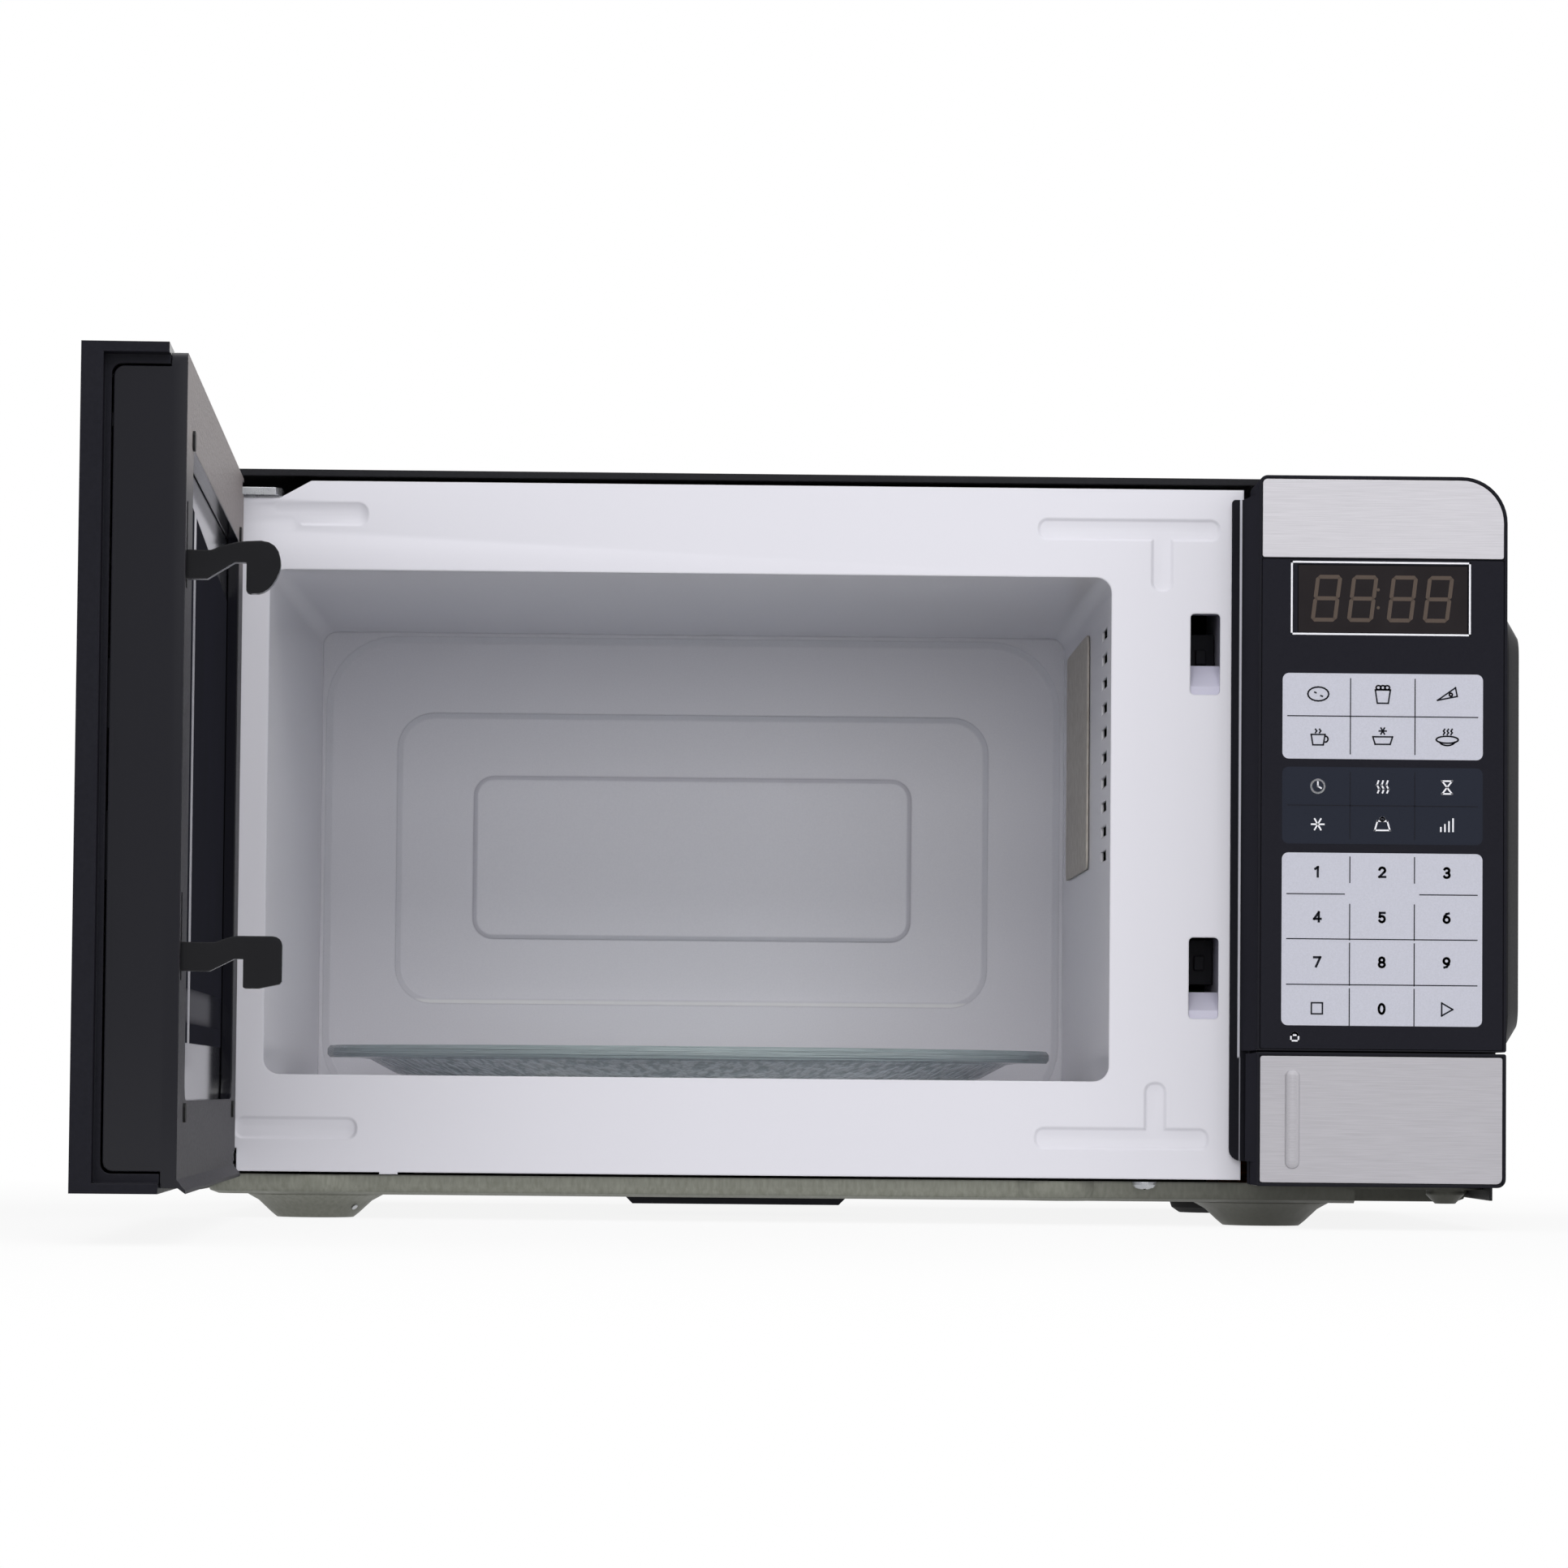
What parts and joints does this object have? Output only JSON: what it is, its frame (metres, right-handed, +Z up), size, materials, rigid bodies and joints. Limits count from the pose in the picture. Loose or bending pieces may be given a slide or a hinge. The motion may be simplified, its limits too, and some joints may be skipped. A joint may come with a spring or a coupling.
{
  "type": "microwave oven",
  "caption": "Countertop microwave oven with a side-hinged door held open, glass turntable, keypad panel and push button.",
  "frame": {"origin": "middle of the underside of the bounding box with the door held open, on the resting surface", "axes": "+Z up, +Y into the oven from its front, +X to the right seen from the front"},
  "size_m": [0.4854, 0.6816, 0.2623],
  "materials": {
    "case_black": "satin",
    "galvanised": "satin",
    "enamel_white": "gloss",
    "cavity_grey": "satin",
    "mica": "matte",
    "black_plastic": "satin",
    "gloss_black": "gloss",
    "stainless": "brushed",
    "bright_steel": "polished",
    "smoked_glass": "gloss",
    "teal_glass": "gloss",
    "lilac_plastic": "satin",
    "white_plastic": "satin",
    "rubber": "matte",
    "winding": "satin",
    "circuit_board": "satin"
  },
  "bodies": {
    "oven": {"air_duct": "black_plastic", "back_panel": "case_black", "base_pan": "galvanised", "cabinet_wrapper": "case_black", "capacitor": "bright_steel", "capacitor_strap": "galvanised", "cavity_shell": "cavity_grey", "control_board": "circuit_board", "cord_gland": "rubber", "display_module": "black_plastic", "display_window": "smoked_glass", "door_switch_monitor": "black_plastic", "door_switch_primary": "black_plastic", "door_switch_secondary": "black_plastic", "fan_motor": "bright_steel", "fan_shroud": "black_plastic", "filter_board": "circuit_board", "front_plate": "enamel_white", "hinge_lower": "bright_steel", "hinge_upper": "bright_steel", "interlock_bracket": "lilac_plastic", "lamp_bulb": "teal_glass", "lamp_holder": "white_plastic", "magnetron": "bright_steel", "membrane_keypad": "gloss_black", "motor_access_cover": "black_plastic", "panel_frame": "black_plastic", "panel_trim_plate": "stainless", "rear_foot_left": "rubber", "rear_foot_right": "rubber", "thermal_cutout": "black_plastic", "transformer": "winding", "turntable_motor": "bright_steel", "waveguide": "galvanised", "waveguide_cover": "mica"},
    "door": {"door_frame": "black_plastic", "door_trim_top": "stainless", "door_trim_bottom": "stainless", "door_glass": "smoked_glass", "door_choke_panel": "bright_steel", "door_inner_window": "smoked_glass", "door_choke_cover": "black_plastic", "hinge_pin_upper": "bright_steel", "hinge_pin_lower": "bright_steel", "latch_spring": "bright_steel"},
    "latch": {"latch": "gloss_black"},
    "button": {"door_button": "black_plastic", "button_plate": "stainless"},
    "lever": {"release_lever": "white_plastic"},
    "drive": {"turntable_coupler": "white_plastic"},
    "tray": {"glass_tray": "teal_glass"},
    "ring": {"roller_ring": "white_plastic"},
    "roller_1": {"roller_1": "white_plastic"},
    "roller_2": {"roller_2": "white_plastic"},
    "roller_3": {"roller_3": "white_plastic"},
    "fan": {"fan_blade": "white_plastic"}
  },
  "joints": [
    {"name": "door_hinge", "type": "hinge", "parent": "oven", "child": "door", "pos_m": [-0.21849, 0.01806, 0.1375], "axis": [0, 0, 1], "range_deg": [-15, 88]},
    {"name": "latch_slide", "type": "slide", "parent": "door", "child": "latch", "axis": [0, 0, 1], "range_m": [0, 0.0095], "stiffness_N_per_m": 300, "springref_m": -0.006, "deforming": ["latch_spring"]},
    {"name": "button_press", "type": "slide", "parent": "oven", "child": "button", "axis": [0, 1, 0], "range_m": [0, 0.0045], "stiffness_N_per_m": 800, "springref_m": -0.002},
    {"name": "lever_turn", "type": "hinge", "parent": "oven", "child": "lever", "pos_m": [0.12551, 0.07506, 0.074], "axis": [1, 0, 0], "range_deg": [-20, 0]},
    {"name": "turntable_spin", "type": "hinge", "parent": "oven", "child": "drive", "pos_m": [-0.05549, 0.17506, 0.042], "axis": [0, 0, 1], "continuous": true},
    {"name": "tray_lift", "type": "slide", "parent": "drive", "child": "tray", "axis": [0, 0, 1], "range_m": [0, 0.04]},
    {"name": "ring_spin", "type": "hinge", "parent": "oven", "child": "ring", "pos_m": [-0.05549, 0.17506, 0.0423], "axis": [0, 0, 1], "continuous": true},
    {"name": "roller_1_spin", "type": "hinge", "parent": "ring", "child": "roller_1", "pos_m": [0.04151, 0.17506, 0.0423], "axis": [1, 0, 0], "continuous": true},
    {"name": "roller_2_spin", "type": "hinge", "parent": "ring", "child": "roller_2", "pos_m": [-0.10399, 0.25906, 0.0423], "axis": [-0.5, 0.866, 0], "continuous": true},
    {"name": "roller_3_spin", "type": "hinge", "parent": "ring", "child": "roller_3", "pos_m": [-0.10399, 0.09105, 0.0423], "axis": [-0.5, -0.866, 0], "continuous": true},
    {"name": "fan_spin", "type": "hinge", "parent": "oven", "child": "fan", "pos_m": [0.16251, 0.32106, 0.178], "axis": [0, 1, 0], "continuous": true}
  ],
  "couplings": [
    {"joint": "lever_turn", "follows": "button_press", "rad_per_m": -77.57},
    {"joint": "ring_spin", "follows": "turntable_spin", "ratio": 0.5},
    {"joint": "roller_1_spin", "follows": "turntable_spin", "ratio": -6.9286},
    {"joint": "roller_2_spin", "follows": "turntable_spin", "ratio": -6.9286},
    {"joint": "roller_3_spin", "follows": "turntable_spin", "ratio": -6.9286}
  ]
}
